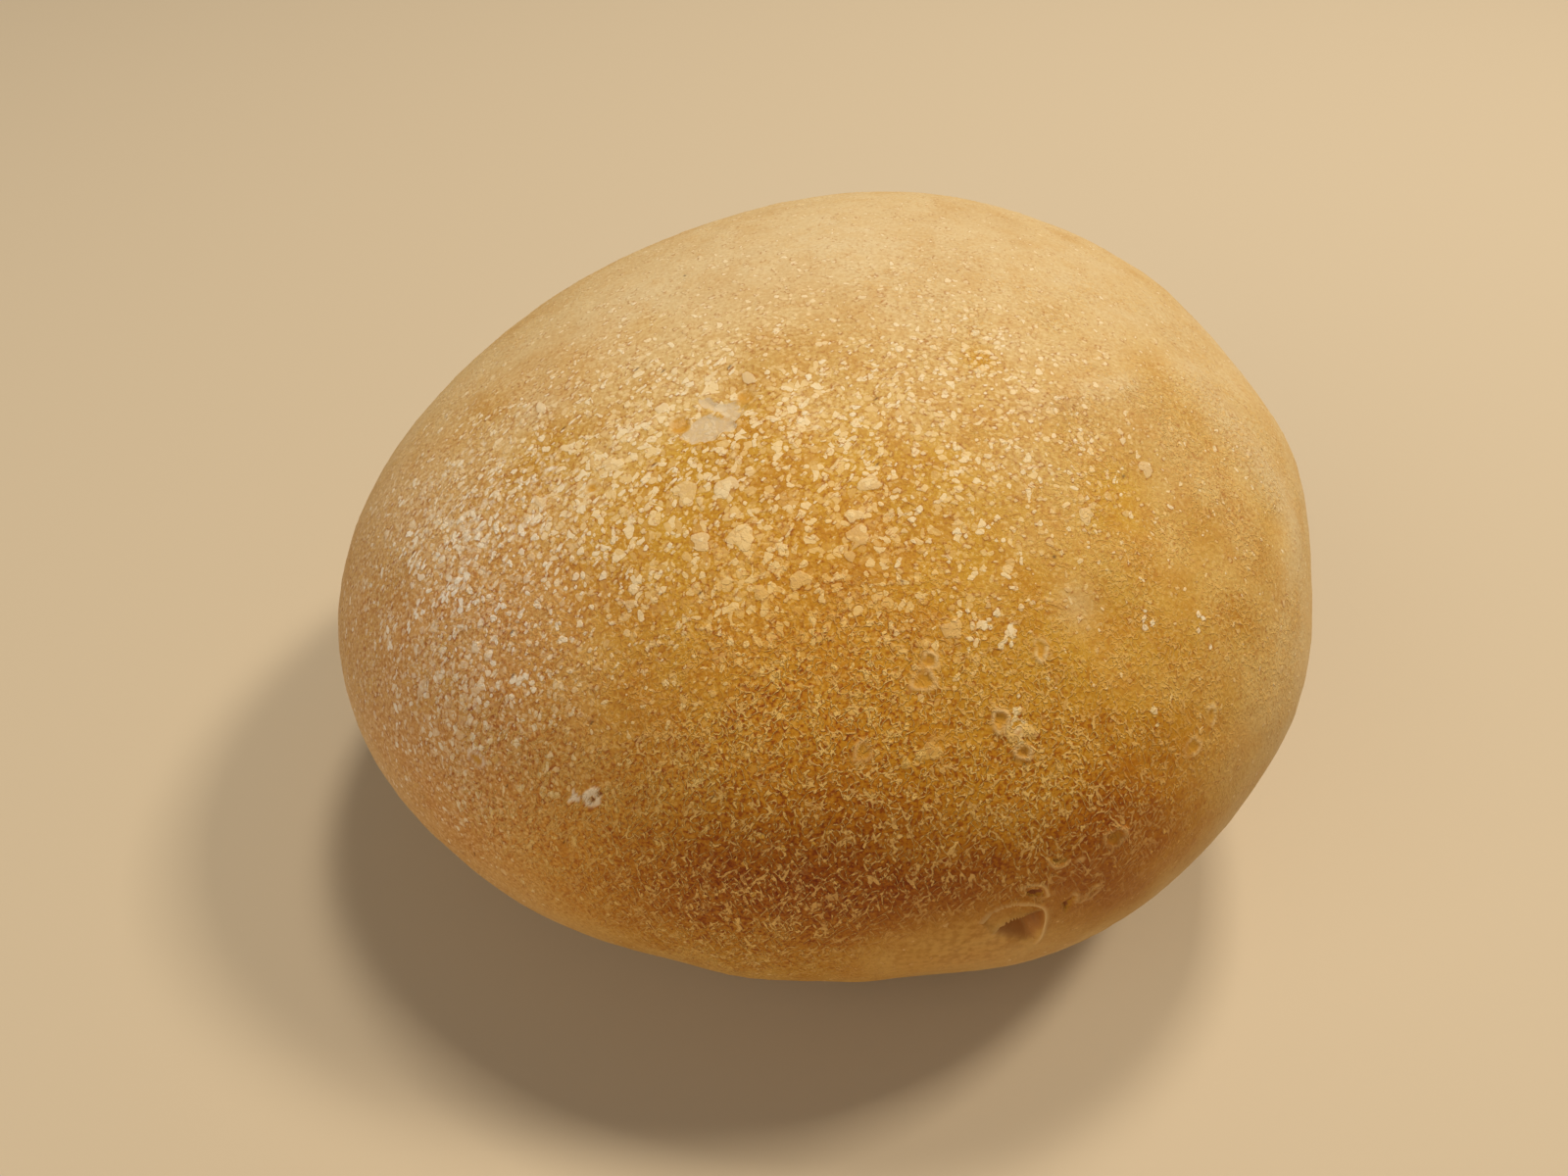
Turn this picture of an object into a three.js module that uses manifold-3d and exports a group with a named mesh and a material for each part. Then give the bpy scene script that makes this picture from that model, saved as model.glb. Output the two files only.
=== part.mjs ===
// A crusty bread roll, baked as one piece: a domed, slightly lopsided body that overhangs a small
// flat foot, with a blistered crust, a patch of torn skin and a bubble that burst low on its flank.
//
// Millimetres, +Z up. +X runs along the roll, and the origin lies under its middle, on the surface
// that it stands on. Every place on the crust is given by two angles seen from the roll's heart, the
// point on its axis at the level where it is widest: the bearing turns counterclockwise from +X as
// seen from above, and the rise climbs from that level to 90 degrees at the crown.

import * as THREE from 'three';
import { mergeVertices } from 'three/addons/utils/BufferGeometryUtils.js';
import Module from 'manifold-3d';

// ---------------------------------------------------------------- driving dimensions

const LENGTH = 110; // before the lobes and swells are added
const DEPTH = 101.2;
const HEIGHT = 66;
const GIRTH_LEVEL = 26.4; // where the roll is widest
const UNDERSIDE_DEPTH = 33; // how far down the flank would curl if the foot were not flat
const FOOT_ROUNDING = 3;

const PLAN_SQUARENESS = 2.12; // 2 would be an ellipse
const PROFILE_SQUARENESS = 2.15;
const CROWN_LEAN = 7.9; // along the roll, proved and baked a little to one side
const LEAN_CURVE = 1.5;

// The outline seen from above is drawn out in two and in three places round the roll.
const LOBES = [
  { count: 2, swell: 0.018, bearing: 64 },
  { count: 3, swell: 0.03, bearing: 307 },
];

// Places where the dough swelled or sank, with the angle that each one spreads over.
const SWELLS = [
  { name: 'full left flank', bearing: 196, rise: 4, spread: 24, height: 0.9 },
  { name: 'slack left shoulder', bearing: 165, rise: 26, spread: 24, height: -0.9 },
  { name: 'full back', bearing: 92, rise: 45, spread: 26, height: 1.3 },
  { name: 'right shoulder lobe', bearing: 354, rise: 28, spread: 11, height: 1 },
  { name: 'right flank bulge', bearing: 330, rise: 10, spread: 9, height: 0.4 },
  { name: 'right flank, sunk', bearing: 316, rise: -3, spread: 12, height: -0.5 },
  { name: 'notch in the front lip', bearing: 284, rise: -12, spread: 6, height: -0.7 },
  { name: 'front lip, middle', bearing: 262, rise: -14, spread: 7, height: 0.5 },
  { name: 'front lip, left', bearing: 238, rise: -12, spread: 12, height: 0.6 },
  { name: 'crease, near the crown', bearing: 301, rise: 57, spread: 5.5, height: 0.3 },
  { name: 'crease, middle', bearing: 322, rise: 56, spread: 5.5, height: 0.35 },
  { name: 'crease, outer end', bearing: 337, rise: 51, spread: 6, height: 0.35 },
  { name: 'dent below the crease', bearing: 315, rise: 42, spread: 8, height: -0.6 },
  { name: 'groove behind the lobe', bearing: 1, rise: 45, spread: 6, height: -0.5 },
  { name: 'dimple on the right', bearing: 299, rise: 35, spread: 4, height: -0.4 },
  { name: 'dip by the torn skin', bearing: 225, rise: 59, spread: 4, height: -0.4 },
];

// Uneven proving leaves shallow rises and dips all over the skin.
const DIMPLE_COUNT = 70;
const DIMPLE_SPREAD = 5;
const DIMPLE_HEIGHT = 0.22;
const LOWEST_DIMPLE = -0.2; // as a share of the way from the girth down, 1 is up at the crown
const DIMPLE_SEED = 7;

const FACET = 3.3; // edge length of the mesh on the crust

// Blisters: low domes of dried skin, thickest over the front of the crown.
const BLISTER_COUNT = 44;
const BLISTER_WIDTH_SMALL = 1.3;
const BLISTER_WIDTH_LARGE = 2.5;
const BLISTER_HEIGHT = 0.32;
const BLISTER_SPACING = 3.2;
const BLISTER_NARROWEST = 0.7; // breadth of the narrowest one as a share of its width
const BLISTER_BAND = { bearing: 255, rise: 50, spread: 32 };
const BLISTER_LOWEST = 5;
const BLISTER_HIGHEST = 88;
const BLISTER_SEED = 29;

// Ring blisters: the dome has sunk and left a raised rim round a small pit.
const RING_BLISTERS = [
  { bearing: 284.5, rise: 27.6, width: 2.2 },
  { bearing: 287, rise: 24.1, width: 1.9 },
  { bearing: 291.2, rise: 33.2, width: 1.7 },
  { bearing: 307.5, rise: 18.4, width: 1.9 },
  { bearing: 298, rise: 11.7, width: 2.6 },
];
const RING_WALL = 0.32;
const RING_PIT_INSET = 3 * RING_WALL; // how much narrower the pit is than the ring
const RING_PIT_DEPTH = 0.5;

// Torn skin near the crown: a shallow bare patch with a deeper pit at either end.
const TORN_SKIN = [
  { bearing: 227, rise: 54, width: 5.6, breadth: 3.4, depth: 0.45, turn: 40 },
  { bearing: 222.5, rise: 51.9, width: 2.2, breadth: 1.8, depth: 0.8, turn: 0 },
  { bearing: 229, rise: 58.5, width: 2.6, breadth: 1.7, depth: 0.8, turn: 20 },
];

// Burst bubble: an open pocket under a thin lip of skin that arches over its upper right side.
const POCKET = { bearing: 290.3, rise: 1, width: 5, height: 5.4, depth: 2.4 };
const POCKET_LIP = {
  bearing: 290.1,
  rise: 1.6,
  width: 6.6,
  height: 8,
  wall: 0.5,
  sink: 0.45,
  liftRight: 7,
  liftTop: 5,
};
const SLITS = [
  { bearing: 290.4, rise: 7.5, width: 2, height: 0.8, depth: 0.7, turn: 0 },
  { bearing: 295.2, rise: 3.8, width: 2.6, height: 0.7, depth: 0.7, turn: 70 },
  { bearing: 292.2, rise: 10.9, width: 2.2, height: 0.7, depth: 0.6, turn: -10 },
];

// Facets round and from top to bottom of the lenses, and round the wall and the way of the rings.
const SMALL_LENS = [8, 4];
const TORN_LENS = [11, 4];
const POCKET_LENS = [18, 8];
const RING_FACETS = [6, 14];
const LIP_FACETS = [6, 28];

const CRUST_COLOUR = 0xd0964c;
const CRUST_ROUGHNESS = 0.62;

// ---------------------------------------------------------------- form of the crust

const RIGHT_ANGLE = Math.PI / 2;
const FULL_TURN = Math.PI * 2;
const HALF_TURN = Math.PI;
const radians = THREE.MathUtils.degToRad;

function towards(bearing, rise) {
  const level = Math.cos(rise);
  return new THREE.Vector3(level * Math.cos(bearing), level * Math.sin(bearing), Math.sin(rise));
}

function scatterDimples() {
  THREE.MathUtils.seededRandom(DIMPLE_SEED);
  return Array.from({ length: DIMPLE_COUNT }, () => {
    const bearing = FULL_TURN * THREE.MathUtils.seededRandom();
    const rise = Math.asin(THREE.MathUtils.lerp(LOWEST_DIMPLE, 1, THREE.MathUtils.seededRandom()));
    const height = DIMPLE_HEIGHT * THREE.MathUtils.lerp(-1, 1, THREE.MathUtils.seededRandom());
    return { centre: towards(bearing, rise), spread: radians(DIMPLE_SPREAD), height };
  });
}

const swells = SWELLS.map(({ bearing, rise, spread, height }) => ({
  centre: towards(radians(bearing), radians(rise)),
  spread: radians(spread),
  height,
})).concat(scatterDimples());

function swellHeight(direction) {
  let height = 0;
  for (const swell of swells) {
    const away = direction.angleTo(swell.centre) / swell.spread;
    height += swell.height * Math.exp(-away * away);
  }
  return height;
}

// Length of a line at the given slope inside a rounded box with these two half sizes.
function roundedReach(along, alongHalf, across, acrossHalf, squareness) {
  const sum = Math.abs(along / alongHalf) ** squareness + Math.abs(across / acrossHalf) ** squareness;
  return sum ** (-1 / squareness);
}

function planRadius(bearing) {
  const cos = Math.cos(bearing);
  const sin = Math.sin(bearing);
  const plain = roundedReach(cos, LENGTH / 2, sin, DEPTH / 2, PLAN_SQUARENESS);
  const lobes = LOBES.map((lobe) => lobe.swell * Math.cos(lobe.count * (bearing - radians(lobe.bearing))));
  return plain * (1 + lobes[0] + lobes[1]);
}

// The foot is flat: whatever the dough would have sunk below the tray is pressed level with it.
function pressFoot(level) {
  if (level > FOOT_ROUNDING) {
    return level;
  }
  const above = Math.max(level + FOOT_ROUNDING, 0);
  return (above * above) / (4 * FOOT_ROUNDING);
}

function unpressedPoint(bearing, rise) {
  const direction = towards(bearing, rise);
  const half = rise > 0 ? HEIGHT - GIRTH_LEVEL : UNDERSIDE_DEPTH;
  const radius = planRadius(bearing);
  const plain = roundedReach(Math.cos(rise), radius, Math.sin(rise), half, PROFILE_SQUARENESS);
  const point = direction.clone().multiplyScalar(plain + swellHeight(direction));
  point.z += GIRTH_LEVEL;
  return point;
}

function crustPoint(bearing, rise) {
  const point = unpressedPoint(bearing, rise);
  point.z = pressFoot(point.z);
  const lean = (point.z / HEIGHT) ** LEAN_CURVE;
  point.x += CROWN_LEAN * lean;
  return point;
}

const HALVINGS = 30;

// The rise at which the crust comes down onto the foot, found by halving.
function footRise(bearing) {
  let low = -RIGHT_ANGLE;
  let high = 0;
  for (let step = 0; step < HALVINGS; step += 1) {
    const middle = (low + high) / 2;
    if (unpressedPoint(bearing, middle).z > -FOOT_ROUNDING) {
      high = middle;
    } else {
      low = middle;
    }
  }
  return high;
}

// ---------------------------------------------------------------- mesh of the crust

const PROFILE_STEPS = 400; // taken along the profile to measure it
const TRIANGLE_HEIGHT = Math.sin(Math.PI / 3); // of a triangle with equal edges, per edge
const FEWEST_IN_COURSE = 6;

// Shares of the way from foot to crown, each course one facet further up the profile.
function courseShares() {
  const steps = PROFILE_STEPS;
  const lowest = footRise(0);
  const shareRise = (share) => THREE.MathUtils.lerp(lowest, RIGHT_ANGLE, share);
  const lengths = [0];
  for (let step = 1; step <= steps; step += 1) {
    const from = crustPoint(0, shareRise((step - 1) / steps));
    const to = crustPoint(0, shareRise(step / steps));
    lengths.push(lengths[step - 1] + from.distanceTo(to));
  }
  const courseHeight = FACET * TRIANGLE_HEIGHT;
  const courses = Math.round(lengths[steps] / courseHeight);
  const shares = [];
  for (let course = 0; course < courses; course += 1) {
    const wanted = (lengths[steps] * course) / courses;
    shares.push(lengths.findIndex((length) => length >= wanted) / steps);
  }
  return shares;
}

// One ring of evenly spaced points, turned by half a space on every other course.
function layCourse(share, order, positions) {
  const middle = THREE.MathUtils.lerp(footRise(0), RIGHT_ANGLE, share);
  const radius = (crustPoint(0, middle).x - crustPoint(HALF_TURN, middle).x) / 2;
  const count = Math.max(Math.round((FULL_TURN * radius) / FACET), FEWEST_IN_COURSE);
  const first = positions.length / 3;
  const offset = (order % 2) / 2;
  for (let place = 0; place < count; place += 1) {
    const bearing = (FULL_TURN * (place + offset)) / count;
    const point = crustPoint(bearing, THREE.MathUtils.lerp(footRise(bearing), RIGHT_ANGLE, share));
    positions.push(point.x, point.y, order === 0 ? 0 : point.z);
  }
  return { first, count, offset };
}

// Fills the band between two courses with triangles, always stepping along the course that lags.
function stitch(lower, upper, triangles) {
  const at = (course, place) => course.first + (place % course.count);
  const turn = (course, place) => (place + course.offset) / course.count;
  let low = 0;
  let high = 0;
  while (low < lower.count || high < upper.count) {
    const lowerLags = turn(lower, low + 1) <= turn(upper, high + 1);
    if (high === upper.count || (lowerLags && low < lower.count)) {
      triangles.push(at(lower, low), at(lower, low + 1), at(upper, high));
      low += 1;
    } else {
      triangles.push(at(lower, low), at(upper, high + 1), at(upper, high));
      high += 1;
    }
  }
}

function crustGeometry() {
  const positions = [];
  const triangles = [];
  const courses = courseShares().map((share, order) => layCourse(share, order, positions));
  for (let order = 1; order < courses.length; order += 1) {
    stitch(courses[order - 1], courses[order], triangles);
  }
  const crown = crustPoint(0, RIGHT_ANGLE);
  const top = courses[courses.length - 1];
  const crownIndex = positions.length / 3;
  positions.push(crown.x, crown.y, crown.z);
  for (let place = 0; place < top.count; place += 1) {
    triangles.push(top.first + place, top.first + ((place + 1) % top.count), crownIndex);
  }
  const foot = courses[0];
  const footIndex = positions.length / 3;
  positions.push(0, 0, 0);
  for (let place = 0; place < foot.count; place += 1) {
    triangles.push(foot.first + ((place + 1) % foot.count), foot.first + place, footIndex);
  }
  const geometry = new THREE.BufferGeometry();
  geometry.setAttribute('position', new THREE.Float32BufferAttribute(positions, 3));
  geometry.setIndex(triangles);
  return geometry;
}

// ---------------------------------------------------------------- solids that join and cut

const wasm = await Module();
wasm.setup();

function toSolid(geometry) {
  const bare = geometry.clone();
  bare.deleteAttribute('normal');
  bare.deleteAttribute('uv');
  const merged = mergeVertices(bare);
  const mesh = new wasm.Mesh({
    numProp: 3,
    vertProperties: new Float32Array(merged.attributes.position.array),
    triVerts: new Uint32Array(merged.index.array),
  });
  return new wasm.Manifold(mesh);
}

function toGeometry(solid) {
  const mesh = solid.getMesh();
  const geometry = new THREE.BufferGeometry();
  geometry.setAttribute('position', new THREE.Float32BufferAttribute(mesh.vertProperties, 3));
  geometry.setIndex(Array.from(mesh.triVerts));
  geometry.computeVertexNormals();
  return geometry;
}

const SLOPE_STEP = radians(1); // between the two points that give the slope of the crust

// A frame standing on the crust: X along the roll's girth, Y up the slope, Z straight out of it.
function crustFrame(bearing, rise, turn = 0) {
  const place = crustPoint(radians(bearing), radians(rise));
  const along = crustPoint(radians(bearing) + SLOPE_STEP, radians(rise)).sub(place).normalize();
  const upSlope = crustPoint(radians(bearing), radians(rise) + SLOPE_STEP).sub(place);
  const outward = new THREE.Vector3().crossVectors(along, upSlope).normalize();
  const across = new THREE.Vector3().crossVectors(outward, along);
  const frame = new THREE.Matrix4().makeBasis(along, across, outward);
  frame.multiply(new THREE.Matrix4().makeRotationZ(radians(turn)));
  return frame.setPosition(place);
}

function onCrust(geometry, frame) {
  return toSolid(geometry.applyMatrix4(frame));
}

function lens(width, height, thickness, [sides, bands]) {
  const geometry = new THREE.SphereGeometry(1, sides, bands);
  geometry.rotateX(RIGHT_ANGLE);
  return geometry.scale(width / 2, height / 2, thickness);
}

// ---------------------------------------------------------------- what shows on the crust

function blisterPlaces() {
  THREE.MathUtils.seededRandom(BLISTER_SEED);
  const heart = towards(radians(BLISTER_BAND.bearing), radians(BLISTER_BAND.rise));
  const places = [];
  while (places.length < BLISTER_COUNT) {
    const bearing = 360 * THREE.MathUtils.seededRandom();
    const rise = THREE.MathUtils.lerp(BLISTER_LOWEST, BLISTER_HIGHEST, THREE.MathUtils.seededRandom());
    const direction = towards(radians(bearing), radians(rise));
    const away = direction.angleTo(heart) / radians(BLISTER_BAND.spread);
    const kept = THREE.MathUtils.seededRandom() < Math.cos(radians(rise)) * Math.exp(-away * away);
    const point = crustPoint(radians(bearing), radians(rise));
    const clear = places.every((other) => other.point.distanceTo(point) > BLISTER_SPACING);
    if (kept && clear) {
      places.push({ bearing, rise, point });
    }
  }
  return places;
}

function blisters() {
  return blisterPlaces().map(({ bearing, rise }, order) => {
    const share = order / (BLISTER_COUNT - 1);
    const width = THREE.MathUtils.lerp(BLISTER_WIDTH_LARGE, BLISTER_WIDTH_SMALL, Math.sqrt(share));
    const breadth = width * THREE.MathUtils.lerp(BLISTER_NARROWEST, 1, THREE.MathUtils.seededRandom());
    const turn = 180 * THREE.MathUtils.seededRandom();
    return onCrust(lens(width, breadth, BLISTER_HEIGHT, SMALL_LENS), crustFrame(bearing, rise, turn));
  });
}

function ringBlister({ bearing, rise, width }) {
  const ring = new THREE.TorusGeometry(width / 2 - RING_WALL, RING_WALL, ...RING_FACETS);
  return onCrust(ring, crustFrame(bearing, rise));
}

function ringPit({ bearing, rise, width }) {
  const pitWidth = width - RING_PIT_INSET;
  return onCrust(lens(pitWidth, pitWidth, RING_PIT_DEPTH, SMALL_LENS), crustFrame(bearing, rise));
}

function tornPatch({ bearing, rise, width, breadth, depth, turn }) {
  return onCrust(lens(width, breadth, depth, TORN_LENS), crustFrame(bearing, rise, turn));
}

function slit({ bearing, rise, width, height, depth, turn }) {
  return onCrust(lens(width, height, depth, SMALL_LENS), crustFrame(bearing, rise, turn));
}

function pocket() {
  const hollow = lens(POCKET.width, POCKET.height, POCKET.depth, POCKET_LENS);
  return onCrust(hollow, crustFrame(POCKET.bearing, POCKET.rise));
}

// The lip is a ring of skin tilted so that its lower left side sinks into the crust.
function pocketLip() {
  const { bearing, rise, width, height, wall, sink, liftRight, liftTop } = POCKET_LIP;
  const ring = new THREE.TorusGeometry(1, wall / width, ...LIP_FACETS);
  ring.scale(width / 2, height / 2, width);
  ring.rotateY(radians(-liftRight));
  ring.rotateX(radians(liftTop));
  ring.translate(0, 0, -sink);
  return onCrust(ring, crustFrame(bearing, rise));
}

// ---------------------------------------------------------------- the roll

function bakeRoll() {
  const raised = [...blisters(), ...RING_BLISTERS.map(ringBlister), pocketLip()];
  const sunk = [...RING_BLISTERS.map(ringPit), ...TORN_SKIN.map(tornPatch), ...SLITS.map(slit), pocket()];
  let roll = toSolid(crustGeometry());
  for (const piece of raised) {
    roll = roll.add(piece);
  }
  for (const piece of sunk) {
    roll = roll.subtract(piece);
  }
  return toGeometry(roll);
}

// Stands the roll with the middle of its bounding box over the origin.
function centre(geometry) {
  geometry.computeBoundingBox();
  const middle = geometry.boundingBox.getCenter(new THREE.Vector3());
  return geometry.translate(-middle.x, -middle.y, 0);
}

const crust = new THREE.MeshStandardMaterial({
  color: CRUST_COLOUR,
  roughness: CRUST_ROUGHNESS,
  metalness: 0,
});

const roll = new THREE.Mesh(centre(bakeRoll()), crust);
roll.name = 'roll';

const breadRoll = new THREE.Group();
breadRoll.add(roll);

export default breadRoll;
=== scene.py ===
"""A crusty bread roll on a plain pale floor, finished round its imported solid.

Lengths are millimetres while the crust is worked out, and metres once it is a mesh. Every place on the
crust is given by two angles seen from the roll's heart, on its axis at the level where it is widest: the
bearing turns counterclockwise from +X as seen from above, and the rise climbs to 90 degrees at the crown.
"""

import math

import bpy
import numpy as np
from mathutils import Matrix, Vector


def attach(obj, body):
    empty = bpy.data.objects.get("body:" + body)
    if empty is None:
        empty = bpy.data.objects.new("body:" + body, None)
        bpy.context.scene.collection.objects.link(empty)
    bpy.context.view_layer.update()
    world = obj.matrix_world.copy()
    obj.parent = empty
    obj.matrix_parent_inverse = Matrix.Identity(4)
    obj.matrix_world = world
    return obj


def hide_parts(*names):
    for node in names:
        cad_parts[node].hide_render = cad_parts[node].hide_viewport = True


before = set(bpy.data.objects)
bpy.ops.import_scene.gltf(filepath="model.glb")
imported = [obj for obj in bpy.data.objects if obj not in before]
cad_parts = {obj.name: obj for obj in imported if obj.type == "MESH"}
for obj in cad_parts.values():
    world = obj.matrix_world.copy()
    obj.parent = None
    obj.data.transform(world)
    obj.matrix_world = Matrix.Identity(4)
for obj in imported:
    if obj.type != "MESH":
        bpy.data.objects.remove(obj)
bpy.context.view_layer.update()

# ---------------------------------------------------------------- the roll: dough, proved and baked
# One lump of wheat dough, rounded by hand, proved until it overhung its foot, and baked on a flat tray.
# It is domed and slightly lopsided, and its crown leans a little to the right. These are the sizes of the
# solid that this skin stands for.

LENGTH, DEPTH, HEIGHT = 110.0, 101.2, 66.0
GIRTH_LEVEL = 26.4
UNDERSIDE_DEPTH = 33.0
FOOT_ROUNDING = 3.0
PLAN_SQUARENESS = 2.12
PROFILE_SQUARENESS = 2.15
CROWN_LEAN, LEAN_CURVE = 7.9, 1.5
LOBES = [(2, 0.018, 64), (3, 0.03, 307)]  # how many round the roll, how far they swell, bearing of one

# Where the dough swelled or sank: bearing, rise, spread in degrees, and height.
SWELLS = [
    ("full left flank", 196, 4, 24, 0.9),
    ("slack left shoulder", 165, 26, 24, -0.9),
    ("full back", 92, 45, 26, 1.3),
    ("right shoulder lobe", 354, 28, 11, 1),
    ("right flank bulge", 330, 10, 9, 0.4),
    ("right flank, sunk", 316, -3, 12, -0.5),
    ("notch in the front lip", 284, -12, 6, -0.7),
    ("front lip, middle", 262, -14, 7, 0.5),
    ("front lip, left", 238, -12, 12, 0.6),
    ("crease, near the crown", 301, 57, 5.5, 0.3),
    ("crease, middle", 322, 56, 5.5, 0.35),
    ("crease, outer end", 337, 51, 6, 0.35),
    ("dent below the crease", 315, 42, 8, -0.6),
    ("groove behind the lobe", 1, 45, 6, -0.5),
    ("dimple on the right", 299, 35, 4, -0.4),
    ("dip by the torn skin", 225, 59, 4, -0.4),
]

# Uneven proving left shallow rises and dips all over, from a little below the girth up to the crown.
DIMPLE_COUNT, DIMPLE_SPREAD, DIMPLE_HEIGHT = 70, 5, 0.22
LOWEST_DIMPLE = -0.2  # 1 is up at the crown
DIMPLE_SEED = 7


def towards(bearing, rise):
    """One unit of the way from the heart towards a place on the crust, for angles in radians."""
    level = np.cos(rise)
    return np.stack([level * np.cos(bearing), level * np.sin(bearing), np.sin(rise) + 0 * bearing], -1)


class Draws:
    """The same run of random numbers as the solid's, so that its dimples come out alike."""

    STEP, WORD = 0x6D2B79F5, 0xFFFFFFFF

    def __init__(self, seed):
        self.state = seed
        self.next()

    def next(self):
        self.state += self.STEP
        word = self.state & self.WORD
        word = ((word ^ word >> 15) * (word | 1)) & self.WORD
        word ^= (word + (word ^ word >> 7) * (word | 61)) & self.WORD
        return (word ^ word >> 14) / (self.WORD + 1)

    def between(self, low, high):
        return low + (high - low) * self.next()


def scatter_dimples():
    draws = Draws(DIMPLE_SEED)
    dimples = []
    for _ in range(DIMPLE_COUNT):
        bearing = math.degrees(math.tau * draws.next())
        rise = math.degrees(math.asin(draws.between(LOWEST_DIMPLE, 1)))
        dimples.append(("dimple", bearing, rise, DIMPLE_SPREAD, DIMPLE_HEIGHT * draws.between(-1, 1)))
    return dimples


def spread_over(direction, bearing, rise, spread):
    """1 at a place on the crust, and falling away round it over so many degrees."""
    centre = towards(np.radians(bearing), np.radians(rise))
    away = np.arccos(np.clip(direction @ centre, -1, 1)) / np.radians(spread)
    return np.exp(-away * away)


def rounded_reach(along, along_half, across, across_half, squareness):
    """Length of a line at the given slope inside a rounded box with these two half sizes."""
    total = np.abs(along / along_half) ** squareness + np.abs(across / across_half) ** squareness
    return total ** (-1 / squareness)


def plan_radius(bearing):
    """How far the girth lies from the heart, seen from above."""
    plain = rounded_reach(np.cos(bearing), LENGTH / 2, np.sin(bearing), DEPTH / 2, PLAN_SQUARENESS)
    return plain * (1 + sum(swell * np.cos(count * (bearing - np.radians(at))) for count, swell, at in LOBES))


swells = SWELLS + scatter_dimples()


def unpressed_point(bearing, rise):
    """Where the crust would lie if its foot weren't flat and its crown didn't lean."""
    direction = towards(bearing, rise)
    half = np.where(rise > 0, HEIGHT - GIRTH_LEVEL, UNDERSIDE_DEPTH)
    reach = rounded_reach(np.cos(rise), plan_radius(bearing), np.sin(rise), half, PROFILE_SQUARENESS)
    for _, at_bearing, at_rise, spread, height in swells:
        reach = reach + height * spread_over(direction, at_bearing, at_rise, spread)
    return direction * reach[..., None] + [0, 0, GIRTH_LEVEL]


def crust_point(bearing, rise):
    """A place on the crust. What would have sunk below the tray is pressed level with it."""
    point = unpressed_point(bearing, rise)
    level = point[..., 2]
    pressed = np.maximum(level + FOOT_ROUNDING, 0) ** 2 / (4 * FOOT_ROUNDING)
    level = np.where(level > FOOT_ROUNDING, level, pressed)
    lean = CROWN_LEAN * (level / HEIGHT) ** LEAN_CURVE
    return np.stack([point[..., 0] + lean, point[..., 1], level], -1)


RIGHT_ANGLE = np.pi / 2
HALVINGS = 24


def foot_rise(bearing):
    """The rise at which the crust comes down onto the foot, found by halving."""
    low, high = np.full_like(bearing, -RIGHT_ANGLE), np.zeros_like(bearing)
    for _ in range(HALVINGS):
        middle = (low + high) / 2
        above = unpressed_point(bearing, middle)[..., 2] > -FOOT_ROUNDING
        low, high = np.where(above, low, middle), np.where(above, middle, high)
    return high


# The skin is one square net, laid with its middle on the crown and its corners gathered under the foot.
# The girth is the diamond half way out, at a share of 1, and the corners are at 2.
NET = 700  # squares along each side
FOOT_SHARE = 1.45  # where the skin turns in under the foot

# The net is pulled closer where the relief is finest: bearing, rise, how far over the net, how much.
CLOSER = [
    ("burst bubble", 291.5, 4, 0.13, 0.6),
    ("torn skin", 226, 55, 0.09, 0.35),
    ("front of the crown", 262, 38, 0.5, 0.2),
]
net_line = np.linspace(-1, 1, NET + 1)
net_u, net_v = (side.copy() for side in np.meshgrid(net_line, net_line, indexing="ij"))

PROFILE_STEPS = 400
profile_rises = np.linspace(0, RIGHT_ANGLE, PROFILE_STEPS)
profile = crust_point(np.zeros(PROFILE_STEPS), profile_rises)
profile_run = np.concatenate([[0], np.cumsum(np.linalg.norm(np.diff(profile, axis=0), axis=1))])
profile_share = 1 - profile_run / profile_run[-1]


def net_place(bearing, rise):
    """Where a place above the girth lies on the net."""
    share = np.interp(np.radians(rise), profile_rises, profile_share)
    quarter, turn = divmod(bearing / 90, 1)
    along, across = share * (1 - turn), share * turn
    return [(along, across), (-across, along), (-along, -across), (across, -along)][int(quarter)]


for _, bearing, rise, width, pull in CLOSER:
    at_u, at_v = net_place(bearing, rise)
    off_u, off_v = net_u - at_u, net_v - at_v
    hold = np.clip(1 - (off_u**2 + off_v**2) / width**2, 0, 1) ** 2
    net_u -= pull * hold * off_u
    net_v -= pull * hold * off_v

NEARLY_NOTHING = 1e-9
share = np.abs(net_u) + np.abs(net_v)
folded = share > 1
fold_u = np.where(folded, 1 - np.abs(net_v), np.abs(net_u))
fold_v = np.where(folded, 1 - np.abs(net_u), np.abs(net_v))
quarter_turn = fold_v / np.maximum(fold_u + fold_v, NEARLY_NOTHING) * RIGHT_ANGLE
net_bearing = np.arctan2(
    np.where(net_v < 0, -1, 1) * np.sin(quarter_turn), np.where(net_u < 0, -1, 1) * np.cos(quarter_turn)
) % math.tau

FOOT_STEPS = 721  # one for each half degree
foot_bearings = np.linspace(0, math.tau, FOOT_STEPS)
lowest_rise = np.interp(net_bearing, foot_bearings, foot_rise(foot_bearings))
down = np.clip((share - 1) / (FOOT_SHARE - 1), 0, 1)
net_rise = np.where(folded, lowest_rise * down, np.interp(share, profile_share[::-1], profile_rises[::-1]))
skin = crust_point(net_bearing, net_rise)
inwards = np.clip((share - FOOT_SHARE) / (2 - FOOT_SHARE), 0, 1)[..., None]
skin *= 1 - inwards
skin[..., 2] = np.where(inwards[..., 0] > 0, 0, skin[..., 2])
off_origin = (skin.reshape(-1, 3).min(0) + skin.reshape(-1, 3).max(0)) / 2 * [1, 1, 0]
skin -= off_origin
direction = towards(net_bearing, net_rise)
directions = direction.reshape(-1, 3)

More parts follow.
